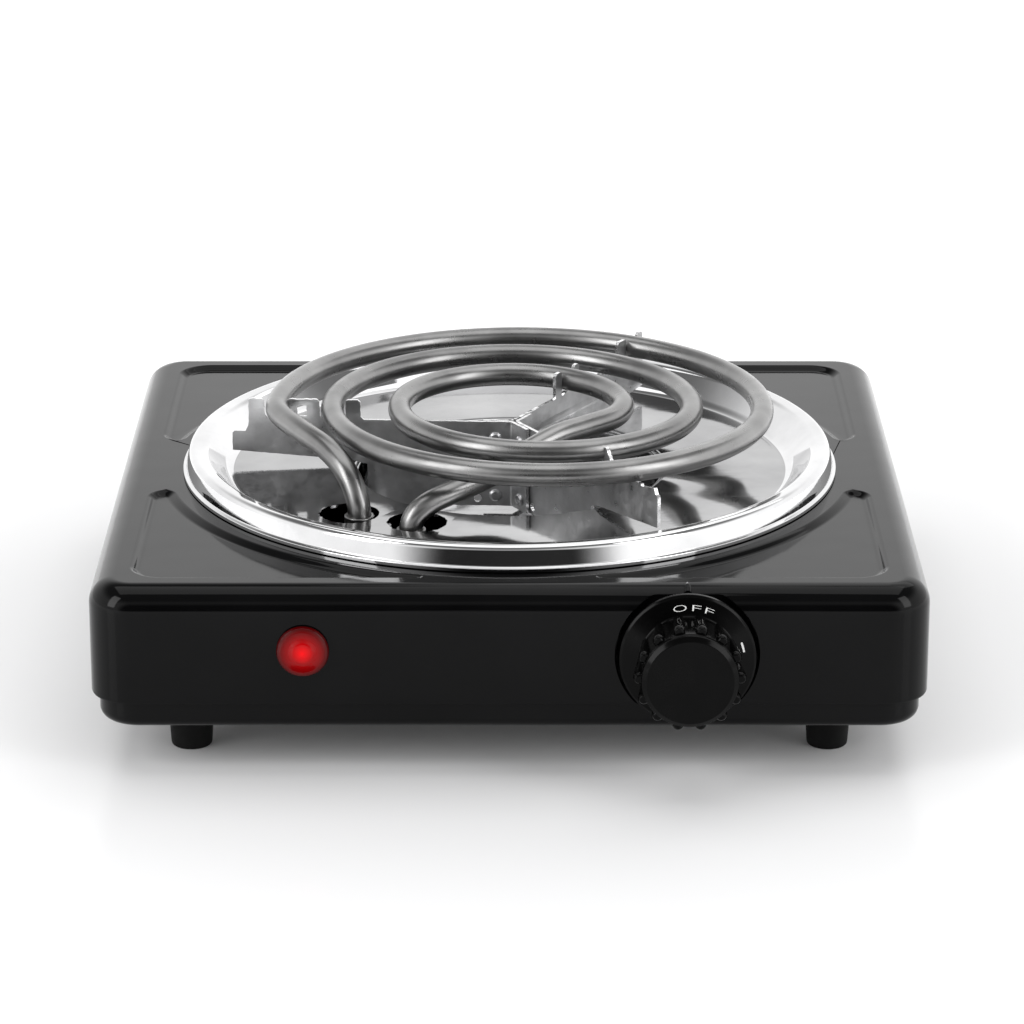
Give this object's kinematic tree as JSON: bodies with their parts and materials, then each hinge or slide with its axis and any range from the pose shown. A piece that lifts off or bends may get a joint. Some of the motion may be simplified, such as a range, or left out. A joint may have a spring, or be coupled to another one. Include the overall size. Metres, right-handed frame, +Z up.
{
  "type": "hot plate burner",
  "caption": "Portable electric hot plate: black enamelled steel base, chrome drip bowl, spiral tube element on a three-armed support, control knob and pilot lamp.",
  "frame": {"origin": "on the ground under the middle of the object's bounding box", "axes": "+Z up, the control knob faces -Y, +X to the right of someone facing the knob"},
  "size_m": [0.225, 0.2398, 0.0739],
  "materials": {
    "enamel": "gloss black vitreous enamel on pressed steel",
    "bowl_chrome": "mirror chrome plate",
    "element_sheath": "satin grey annealed stainless sheath",
    "support_steel": "dull mill-finish galvanised strip",
    "zinc_steel": "bright zinc plate",
    "knob_plastic": "gloss black phenolic",
    "foot_rubber": "matt black rubber",
    "lamp_red": "clear red polycarbonate",
    "bulb_glass": "clear glass with an orange glow",
    "white_nylon": "natural nylon",
    "ceramic_white": "unglazed steatite",
    "brass_contact": "plain brass",
    "gland_black": "black nylon",
    "wire_brown": "brown silicone insulation",
    "wire_blue": "blue silicone insulation",
    "wire_green": "green and yellow silicone insulation"
  },
  "bodies": {
    "root": {"top_housing": "enamel", "base_tray": "enamel", "foot_front_left": "foot_rubber", "foot_front_right": "foot_rubber", "foot_back_right": "foot_rubber", "foot_back_left": "foot_rubber", "foot_screw_front_left": "zinc_steel", "foot_screw_front_right": "zinc_steel", "foot_screw_back_right": "zinc_steel", "foot_screw_back_left": "zinc_steel", "corner_bracket_front_left": "zinc_steel", "corner_bracket_front_right": "zinc_steel", "corner_bracket_back_right": "zinc_steel", "corner_bracket_back_left": "zinc_steel", "bowl_strap": "zinc_steel", "heat_shield": "zinc_steel", "hub_bolt": "zinc_steel", "hub_nut": "zinc_steel", "hub_bracket": "zinc_steel", "hub_rivet_left_lower": "zinc_steel", "hub_rivet_left_upper": "zinc_steel", "hub_rivet_front_lower": "zinc_steel", "hub_rivet_front_upper": "zinc_steel", "hub_rivet_back_lower": "zinc_steel", "hub_rivet_back_upper": "zinc_steel", "element_clamp": "zinc_steel", "thermostat_bracket": "zinc_steel", "thermostat_screw_left": "zinc_steel", "thermostat_screw_right": "zinc_steel", "lamp_clip": "zinc_steel", "drip_bowl": "bowl_chrome", "support_arm_left": "support_steel", "support_arm_front": "support_steel", "support_arm_back": "support_steel", "terminal_sleeve_outer": "support_steel", "terminal_sleeve_inner": "support_steel", "heating_element": "element_sheath", "insulator_outer": "ceramic_white", "insulator_inner": "ceramic_white", "thermostat_body": "ceramic_white", "terminal_pin_outer": "brass_contact", "terminal_pin_inner": "brass_contact", "bimetal_blade": "brass_contact", "contact_blade": "brass_contact", "earth_screw": "brass_contact", "lamp_lens": "lamp_red", "neon_bulb": "bulb_glass", "lamp_body": "white_nylon", "terminal_block": "white_nylon", "cord_gland": "gland_black", "gland_nut": "gland_black", "wire_supply_live": "wire_brown", "wire_element_live": "wire_brown", "wire_lamp_live": "wire_brown", "wire_element_neutral": "wire_blue", "wire_lamp_neutral": "wire_blue", "wire_earth": "wire_green"},
    "knob": {"knob_body": "knob_plastic", "knob_cap": "knob_plastic", "thermostat_shaft": "zinc_steel"}
  },
  "joints": [
    {"name": "knob_turn", "type": "hinge", "parent": "root", "child": "knob", "pos_m": [0.0473, -0.1014, 0.0354], "axis": [0, 1, 0], "range_deg": [0, 290]}
  ]
}
